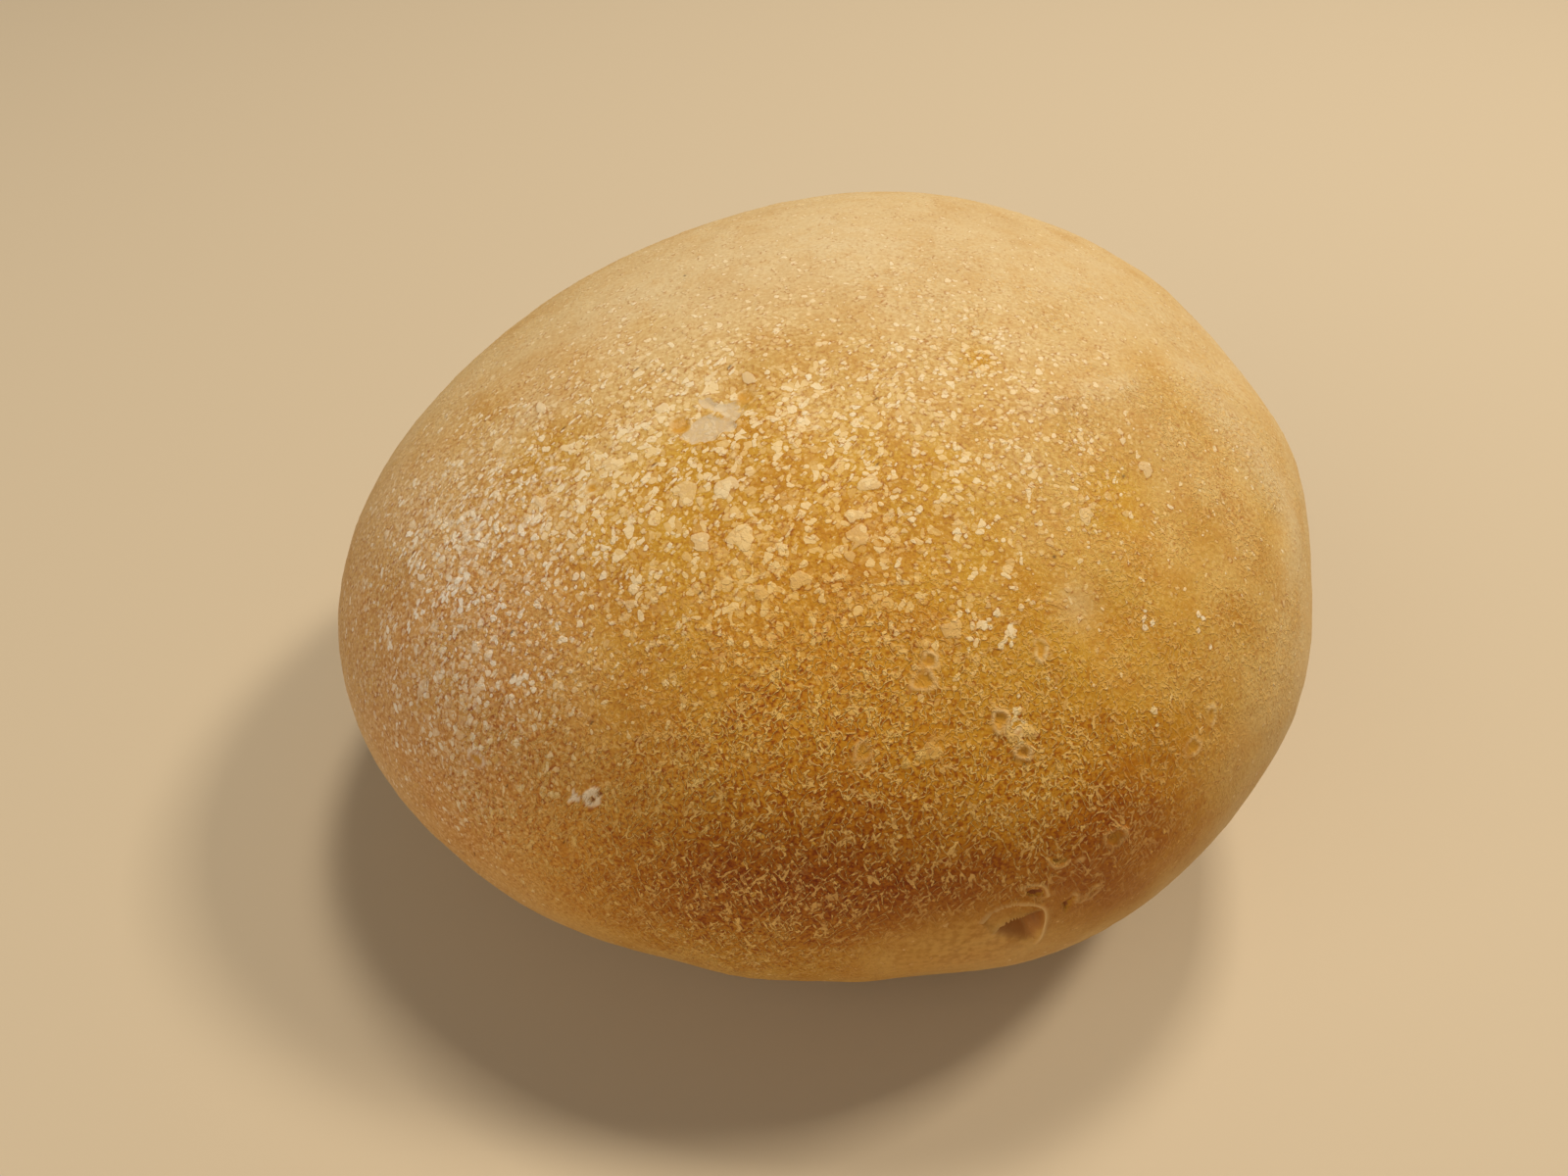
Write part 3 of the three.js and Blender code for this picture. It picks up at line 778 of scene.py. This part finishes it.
ROSY = [
    ("left shoulder", 194, 46, 7, 0.15),
    ("left flank", 204, 12, 20, 0.7),
    ("left low", 228, 6, 17, 0.85),
    ("front left", 224, 24, 12, 0.6),
]
DEEPENED = [
    ("low front", 268, 13, 22, 1.0),
    ("low front right", 299, 11, 13, 1.0),
    ("low front left", 240, 4, 16, 0.6),
    ("front of the crown", 258, 40, 14, 0.35),
    ("back", 95, 0, 35, 0.5),
]
CURLED = [
    ("low front", 262, 16, 16, 1.0),
    ("low front right", 288, 18, 15, 0.9),
    ("front left", 236, 10, 16, 0.6),
    ("front", 262, 30, 12, 0.6),
    ("right flank", 318, 28, 24, 0.45),
    ("upper right", 330, 56, 24, 0.35),
    ("crown", 270, 76, 22, 0.2),
    ("left flank", 208, 14, 20, 0.5),
    ("rim", 262, -4, 14, 0.7),
    ("back", 90, 8, 50, 0.45),
    ("left side", 160, 10, 26, 0.4),
    ("right side", 20, 10, 28, 0.4),
]
SMOOTHED = [("round the bubble", 287, 0, 6, 1.0), ("under the bubble", 280, -2, 6, 0.7)]
FLOURED = [
    ("left shoulder", 205, 30, 11, 1.0),
    ("left, higher", 214, 36, 8, 0.8),
    ("left front, low", 224, 14, 9, 0.5),
]
FEWER_GAPS = (272, 9, 24)  # low at the front, where the drifts of curls run together

smoothed = np.clip(patches(SMOOTHED), 0, 1)
blotches = 0.12 * lumps(9, seed=61) + 0.12 * lumps(3.5, seed=62)
blotches = blotches * (0.35 + 0.65 * rise_over(patches(BAKED_AND_PAINTED_LIGHT), 0, 0.7))
finish["baked"] = np.clip(patches(BAKED_AND_PAINTED_LIGHT) + blotches, 0, 1)
finish["browned"] = np.clip(patches(BROWNED) * (1 - 0.6 * smoothed) + blotches, 0, 1)
finish["rosy"] = np.clip(patches(ROSY), 0, 1)
finish["deepened"] = np.clip(patches(DEEPENED) * (1 - 0.7 * smoothed), 0, 1)
drifts = lumps(4.5, seed=66) + 0.5 * lumps(2, seed=67) + 1.3 * spread_over(direction, *FEWER_GAPS)
in_drifts = rise_over(drifts, -0.55, 0.3)
curl_cover = np.clip(patches(CURLED), 0, 1) * (1 - 0.9 * smoothed) * (0.35 + 0.65 * in_drifts)
finish["curled"] = curl_cover * kept_rough
finish["smoothed"] = smoothed
finish["mottle"] = 0.5 + 0.3 * lumps(2.2, seed=63) + 0.25 * lumps(1.2, seed=64)
finish["floured"] = np.clip(patches(FLOURED), 0, 1) * (0.75 + 0.4 * lumps(2.6, seed=65))

# Soft creases where the dough was folded under: bearings and rises along each, width, depth, and how much
# browner it is, less than nothing being paler. Browner in the groove and paler on the ridges is partly the
# crust's tone and partly painted shade and painted highlight.
CREASES = [
    ([(344, 54), (336, 49), (334, 44), (333, 38), (333, 32)], 2.2, 0.35, 0.1),
    ([(303, 61), (316, 59), (331, 56)], 1.6, -0.22, -0.2),
    ([(350, 47), (343, 41), (340, 36), (338, 28)], 2.6, -0.25, -0.2),
]
for path, width, depth, browner_with_painted_shading in CREASES:
    places = crust_point(*np.radians(np.array(path).T)) - off_origin
    off_crease = np.full(skin.shape[:2], np.inf)
    for near_end, far_end in zip(places, places[1:]):
        run = far_end - near_end
        share_along = np.clip((skin - near_end) @ run / (run @ run), 0, 1)[..., None]
        off_run = np.linalg.norm(skin - near_end - share_along * run, axis=-1)
        off_crease = np.minimum(off_crease, off_run)
    creased = beside(off_crease, width)
    relief -= depth * creased
    # The creases' painted shade and highlight go into the same field as the baked colour.
    finish["baked"] = np.clip(finish["baked"] + browner_with_painted_shading * creased, 0, 1)

# A few dark specks, burnt crumbs from the oven.
SPECKS, SPECK_RADIUS, SPECK_REACH = 30, 0.15, 0.5
speck = np.zeros(skin.shape[:2])
for place in np.searchsorted(likely, chances.random(SPECKS) * likely[-1]):
    off = skin.reshape(-1, 3) - skin.reshape(-1, 3)[place]
    close = np.flatnonzero((np.abs(off) < SPECK_REACH).all(1))
    speck.reshape(-1)[close] += np.exp(-(off[close] ** 2).sum(1) / SPECK_RADIUS**2)
finish["speck"] = speck

pebbled = 0.03 * lumps(1.1, seed=3) * (1 - smoothed) + 0.05 * lumps(2.7, seed=4) + 0.06 * lumps(6, seed=5)
relief += standing * pebbled
relief *= standing
skin = skin + outward * relief[..., None] + drawn_over

MM_PER_METRE = 1000
crust_mesh = bpy.data.meshes.new("crust")
crust_mesh.vertices.add(len(kept))
crust_places = skin.reshape(-1, 3)[kept] / MM_PER_METRE
crust_mesh.vertices.foreach_set("co", crust_places.astype(np.float32).ravel())
crust_mesh.loops.add(quads.size)
crust_mesh.loops.foreach_set("vertex_index", quads.ravel())
crust_mesh.polygons.add(len(quads))
crust_mesh.polygons.foreach_set("loop_start", np.arange(0, quads.size, 4, dtype=np.int32))
crust_mesh.update()
for name, values in finish.items():
    layer = crust_mesh.attributes.new(name, "FLOAT", "POINT")
    layer.data.foreach_set("value", values.ravel()[kept].astype(np.float32))
flat_net = np.stack(np.meshgrid(net_line, net_line, indexing="ij"), -1) / 2 + 0.5
net_map = crust_mesh.uv_layers.new(name="OFBake")
net_map.data.foreach_set("uv", four_corners(flat_net).astype(np.float32).ravel())

crust = bpy.data.objects.new("crust", crust_mesh)
bpy.context.scene.collection.objects.link(crust)
crust_mesh.shade_smooth()


def colour(red, green, blue):
    """A colour given as on a screen, from 0 to 255, as the light that it stands for."""
    return tuple(((part / 255 + 0.055) / 1.055) ** 2.4 for part in (red, green, blue)) + (1,)


class Strand:
    """One value, colour or place on its way through a material."""

    def __init__(self, tree, socket=None):
        self.tree, self.socket = tree, socket

    def node(self, kind, settings=None, sockets=None, out=0):
        made = self.tree.nodes.new("ShaderNode" + kind)
        for name, value in (settings or {}).items():
            setattr(made, name, value)
        for name, value in (sockets or {}).items():
            if isinstance(value, Strand):
                self.tree.links.new(value.socket, made.inputs[name])
            else:
                made.inputs[name].default_value = value
        return Strand(self.tree, made.outputs[out])

    def maths(self, operation, first, second):
        return self.node("Math", {"operation": operation}, {0: first, 1: second})

    def __add__(self, other):
        return self.maths("ADD", self, other)

    def __sub__(self, other):
        return self.maths("SUBTRACT", self, other)

    def __rsub__(self, other):
        return self.maths("SUBTRACT", other, self)

    def __mul__(self, other):
        return self.maths("MULTIPLY", self, other)

    __radd__, __rmul__ = __add__, __mul__


PALE_CRUST = colour(220, 196, 151)
GOLDEN_CRUST = colour(206, 157, 50)
ROSY_CRUST = colour(221, 166, 104)
BROWN_CRUST = colour(152, 82, 12)
MOTTLED_STAIN = colour(240, 214, 164)
SPECKLED_STAIN = colour(208, 158, 86)
DEEP_STAIN = colour(255, 222, 116)

PALE_FLAKE = colour(234, 208, 162)
GOLDEN_FLAKE = colour(238, 204, 138)
ROSY_FLAKE = colour(244, 220, 190)
BROWN_FLAKE = colour(208, 150, 80)
WHITE_FLAKE = colour(243, 225, 188)
WHITEST_FLAKE = colour(250, 238, 218)
# Painted shade for the thin gaps round the flakes.
SMALL_GAP_PAINTED_SHADE = colour(200, 140, 64)
LARGE_GAP_PAINTED_SHADE = colour(196, 136, 64)

CURL = colour(242, 196, 110)
BROWN_CURL = colour(242, 186, 104)
# Partly the crust's own darker gaps among the curls, partly painted shade between them.
CURL_PAINTED_SHADE = colour(196, 130, 56)

FLOUR = colour(240, 222, 192)
SMOOTH_PALE = colour(219, 163, 82)
SMOOTH_BROWN = colour(183, 119, 42)
TORN_FILM = colour(214, 190, 152)
GOLDEN_PIT = colour(204, 146, 46)
BROWN_PIT = colour(166, 98, 50)
HOLLOW_CRUMB_AND_PAINTED_LIGHT = colour(180, 119, 58)
# These pale skin colours also paint the highlight along the hollow's top edge.
PALE_SKIN_AND_HIGHLIGHT = colour(236, 204, 146)
GOLDEN_SKIN_AND_HIGHLIGHT = colour(232, 182, 108)
WHITE_SKIN_AND_HIGHLIGHT = colour(246, 228, 200)
BURNT = colour(70, 34, 14)

# Millimetres, but for the curls' length, in times their width, and their two leans, in radians.
FINE_GRAIN, SOFT_GRAIN, SHAKE_GRAIN = 0.38, 0.8, 1.3
SHAKE = 1.1
SMALL_FLAKE = 0.68
DRAWN_UP = 0.72  # the small flakes' width over their height
CURL_WIDTH, CURL_LENGTH = 0.62, 4.4
CURL_LEANS = (0.6, -0.4)
CRUST_ROUGHNESS, CRUST_SHEEN = 0.6, 0.2

dough = bpy.data.materials.new("crust")
dough.use_nodes = True
skin_shader = dough.node_tree.nodes["Principled BSDF"]
strand = Strand(dough.node_tree)


def field(name):
    """One of the numbers kept at the corners of the mesh."""
    return strand.node("Attribute", {"attribute_name": name}, out="Fac")


def between(value, low, high):
    """0 at the low value and 1 at the high one, with a smooth step between them."""
    return strand.node(
        "MapRange", {"interpolation_type": "SMOOTHSTEP"}, {"Value": value, "From Min": low, "From Max": high}
    )


def laid_over(mask, under, over):
    """One colour over another, as thickly as the mask says."""
    return strand.node("Mix", {"data_type": "RGBA"}, {0: mask, 6: under, 7: over}, out=2)


def stained(mask, under, stain):
    """A colour darkened by a stain, as strongly as the mask says."""
    settings = {"data_type": "RGBA", "blend_type": "MULTIPLY"}
    return strand.node("Mix", settings, {0: mask, 6: under, 7: stain}, out=2)


def vector_maths(operation, *vectors):
    return strand.node("VectorMath", {"operation": operation}, dict(enumerate(vectors)))


def grain(size, detail, at, out="Fac"):
    sockets = {"Vector": at, "Scale": MM_PER_METRE / size, "Detail": detail}
    return strand.node("TexNoise", sockets=sockets, out=out)


def other_output(value, name):
    """Another output of the node that a value comes from."""
    return Strand(dough.node_tree, value.socket.node.outputs[name])


on_crust = strand.node("TexCoord", out="Object")
fine = grain(FINE_GRAIN, 2.0, on_crust)
shake = vector_maths("SUBTRACT", grain(SHAKE_GRAIN, 0.0, on_crust, "Color"), (0.5, 0.5, 0.5))
shaken = vector_maths("MULTIPLY_ADD", shake, (SHAKE / MM_PER_METRE,) * 3, on_crust)

baked, browned, rosy, deepened = field("baked"), field("browned"), field("rosy"), field("deepened")
flaked_here, inside_flake, large_tint = field("flaked"), field("flake"), field("flake_tint")
curled = field("curled")
smooth_here, pit_here = field("smoothed"), field("pit")

base = laid_over(baked, PALE_CRUST, GOLDEN_CRUST)
base = laid_over(rosy * 0.7, base, ROSY_CRUST)
base = laid_over(browned, base, BROWN_CRUST)
base = stained(between(field("mottle"), 0.3, 0.85) * (baked * 0.35 + 0.2), base, MOTTLED_STAIN)
speckled = flaked_here * 0.2 + curled * curled * 0.5 + rosy * 0.16 + 0.08
base = stained(between(fine, 0.44, 0.6) * speckled, base, SPECKLED_STAIN)
sparks = between(fine, 0.42, 0.34) * (flaked_here * 0.4 + curled * 0.15 + rosy * 0.26 + 0.14)

# Small flakes, drawn out up the slope on the flanks. Each cell has a size, a tint and an edge of its own.
cell_places = vector_maths("MULTIPLY", shaken, (1.0, 1.0, DRAWN_UP))
cells = strand.node(
    "TexVoronoi", {"feature": "F1"}, {"Vector": cell_places, "Scale": MM_PER_METRE / SMALL_FLAKE}, "Distance"
)
cell_parts = strand.node("SeparateColor", sockets={0: other_output(cells, "Color")})
own_size, own_tint, own_edge = (other_output(cell_parts, part) for part in range(3))
small = flaked_here * 0.55 + own_size * 0.5 - 0.26 - cells + (fine - 0.5) * 0.7
small_mask = between(small, -0.02, 0.04)
# A thin darker ring just outside each small flake is painted shade in the gap beside it.
small_gap_painted_shade = between(small, -0.22, -0.04) * (1 - small_mask) * between(fine, 0.47, 0.6)
small_strength = (between(own_tint, 0.05, 0.85) * 0.8 + 0.12) * (fine * 0.5 + 0.75)

large = inside_flake + (fine - 0.5) * 0.22
large_mask = between(large, -0.03, 0.05)
# A thin darker ring just outside each large flake is painted shade too.
large_gap_painted_shade = between(large, -0.16, -0.04) * (1 - large_mask) * between(fine, 0.44, 0.6)
large_strength = (large_tint * 0.65 + 0.25) * (fine * 0.8 + 0.6)

flake_colour = laid_over(baked, PALE_FLAKE, GOLDEN_FLAKE)
flake_colour = laid_over(rosy * 0.8, flake_colour, ROSY_FLAKE)
flake_colour = laid_over(browned, flake_colour, BROWN_FLAKE)
whitest = laid_over(rosy, WHITE_FLAKE, WHITEST_FLAKE)
small_colour = laid_over(between(own_tint, 0.5, 1.0) * (rosy * 0.4 + 0.55), flake_colour, whitest)
large_colour = laid_over(large_tint, flake_colour, whitest)
skin_colour = stained(small_gap_painted_shade * 0.36, base, SMALL_GAP_PAINTED_SHADE)
skin_colour = laid_over(sparks, skin_colour, flake_colour)
skin_colour = laid_over(small_mask * small_strength, skin_colour, small_colour)
skin_colour = stained(large_gap_painted_shade * 0.5, skin_colour, LARGE_GAP_PAINTED_SHADE)
skin_colour = laid_over(large_mask * large_strength, skin_colour, large_colour)


def curls_leaning(lean, low, high):
    """A fine line wherever a drawn-out value passes through its middle, kept in short lengths."""
    sockets = {"Vector": on_crust, "Rotation": (0, lean, 0), "Scale": (1, 1, CURL_LENGTH)}
    turned = strand.node("Mapping", {"vector_type": "TEXTURE"}, sockets)
    off_line = strand.maths("ABSOLUTE", grain(CURL_WIDTH, 1.0, turned) - 0.5, 0.0) + (0.56 - fine) * 0.2
    return between(off_line, 0.07, 0.015) * between(own_edge, low, high)


# Curls: fine raised wrinkles, lighter than the crust, that run up the slope and lean either way.
one_way, other_way = curls_leaning(CURL_LEANS[0], 0.3, 0.42), curls_leaning(CURL_LEANS[1], 0.7, 0.58)
curls = strand.maths("MAXIMUM", one_way, other_way) * curled * (own_tint * 0.4 + 0.6)
skin_colour = stained(deepened, skin_colour, DEEP_STAIN)
# Darker flecks among the curls: partly the crust's own darker gaps, partly painted shade between the curls.
skin_colour = stained(between(fine, 0.52, 0.64) * curled * 0.4, skin_colour, CURL_PAINTED_SHADE)
skin_colour = laid_over(curls * 1.05, skin_colour, laid_over(browned, CURL, BROWN_CURL))

# Flour, the smooth skin round the bubble, the torn film, the pits, the hollow, and the pale walls and lips
# with a painted highlight along the hollow's top edge.
soft = grain(SOFT_GRAIN, 2.0, on_crust)
flour = between(field("floured") * 0.6 + (soft - 0.5) * 1.8, 0.5, 0.85)
skin_colour = laid_over(flour * 0.6, skin_colour, FLOUR)
smooth_colour = laid_over(between(soft, 0.38, 0.66), SMOOTH_PALE, SMOOTH_BROWN)
skin_colour = laid_over(smooth_here * 0.55, skin_colour, smooth_colour)
torn_film = between(field("torn_skin") + (fine - 0.5) * 0.9, 0.25, 0.7) * (fine * 0.8 + 0.34)
skin_colour = laid_over(torn_film, skin_colour, TORN_FILM)
pit_colour = laid_over(between(pit_here, 0.76, 0.88), GOLDEN_PIT, BROWN_PIT)
skin_colour = laid_over(pit_here, skin_colour, pit_colour)
# The hollow's brown crumb is coloured lighter than the crumb itself: painted light that offsets the shade
# inside it.
skin_colour = laid_over(field("hollow") * 0.85, skin_colour, HOLLOW_CRUMB_AND_PAINTED_LIGHT)
pale_skin_and_highlight_colour = laid_over(rosy * 1.5, laid_over(deepened, PALE_SKIN_AND_HIGHLIGHT, GOLDEN_SKIN_AND_HIGHLIGHT), WHITE_SKIN_AND_HIGHLIGHT)
skin_colour = laid_over(field("pale_skin_and_highlight"), skin_colour, pale_skin_and_highlight_colour)
skin_colour = laid_over(field("speck") * 0.85, skin_colour, BURNT)

# The finest relief, in millimetres.
flake_rise = between(small, -0.1, 0.2) * own_tint * 0.03 + large_mask * 0.02
finest = (flake_rise + curls * 0.12 + fine * 0.05) * (1 - 0.85 * smooth_here)
bump = strand.node("Bump", sockets={"Strength": 1.0, "Distance": 1 / MM_PER_METRE, "Height": finest})
dough.node_tree.links.new(skin_colour.socket, skin_shader.inputs["Base Color"])
dough.node_tree.links.new(bump.socket, skin_shader.inputs["Normal"])
skin_shader.inputs["Roughness"].default_value = CRUST_ROUGHNESS
skin_shader.inputs["Specular IOR Level"].default_value = CRUST_SHEEN
crust_mesh.materials.append(dough)

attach(crust, "root")
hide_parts("roll")

# ---------------------------------------------------------------- floor
# A plain pale sheet, far wider than the roll, that it rests on.

FLOOR_REACH = 6.0
FLOOR_COLOUR = (0.61, 0.485, 0.32, 1)
FLOOR_ROUGHNESS = 0.9

floor_mesh = bpy.data.meshes.new("floor")
floor_corners = [(FLOOR_REACH * x, FLOOR_REACH * y, 0) for x, y in ((-1, -1), (1, -1), (1, 1), (-1, 1))]
floor_mesh.from_pydata(floor_corners, [], [(0, 1, 2, 3)])
paper = bpy.data.materials.new("floor")
paper.use_nodes = True
paper_shader = paper.node_tree.nodes["Principled BSDF"]
paper_shader.inputs["Base Color"].default_value = FLOOR_COLOUR
paper_shader.inputs["Roughness"].default_value = FLOOR_ROUGHNESS
floor_mesh.materials.append(paper)
floor = bpy.data.objects.new("floor", floor_mesh)
bpy.context.scene.collection.objects.link(floor)

# ---------------------------------------------------------------- light and camera
# Two soft lamps from behind on the right, a broad weak one on the front left, and a dim warm room.

ROOM_COLOUR, ROOM_STRENGTH = (1.0, 0.95, 0.88, 1), 0.17
LIT_PLACE = Vector((0, 0, 0.03))

scene = bpy.context.scene
scene.view_settings.view_transform = "Standard"
world = bpy.data.worlds.new("studio")
scene.world = world
world.use_nodes = True
room = world.node_tree.nodes["Background"]
room.inputs["Color"].default_value = ROOM_COLOUR
room.inputs["Strength"].default_value = ROOM_STRENGTH


def soft_light(name, place, size, power, tone):
    lamp = bpy.data.lights.new(name, "AREA")
    lamp.shape = "SQUARE"
    lamp.size = size
    lamp.energy = power
    lamp.color = tone
    stand = bpy.data.objects.new(name, lamp)
    stand.location = place
    stand.rotation_euler = (LIT_PLACE - Vector(place)).to_track_quat("-Z", "Y").to_euler()
    scene.collection.objects.link(stand)


soft_light("right", (0.5, 0.18, 0.8), 0.14, 4.3, (1.0, 0.93, 0.82))
soft_light("above", (0.12, 0.3, 0.95), 0.16, 4.3, (1.0, 0.94, 0.85))
soft_light("front", (-0.62, -0.6, 0.6), 0.8, 2.8, (1.0, 0.95, 0.88))

SENSOR_WIDTH, FOCAL_LENGTH = 36, 27.045
NEAREST_SEEN = 0.005
CAMERA_PLACE = (-0.0033, -0.10664, 0.1253)
CAMERA_TILT, CAMERA_ROLL = 46, 1.7  # degrees up from straight down, and round its line of sight

lens = bpy.data.cameras.new("camera")
lens.sensor_width = SENSOR_WIDTH
lens.lens = FOCAL_LENGTH
lens.clip_start = NEAREST_SEEN
camera = bpy.data.objects.new("camera", lens)
camera.matrix_world = (
    Matrix.Translation(CAMERA_PLACE)
    @ Matrix.Rotation(math.radians(CAMERA_TILT), 4, "X")
    @ Matrix.Rotation(math.radians(CAMERA_ROLL), 4, "Z")
)
scene.collection.objects.link(camera)
scene.camera = camera
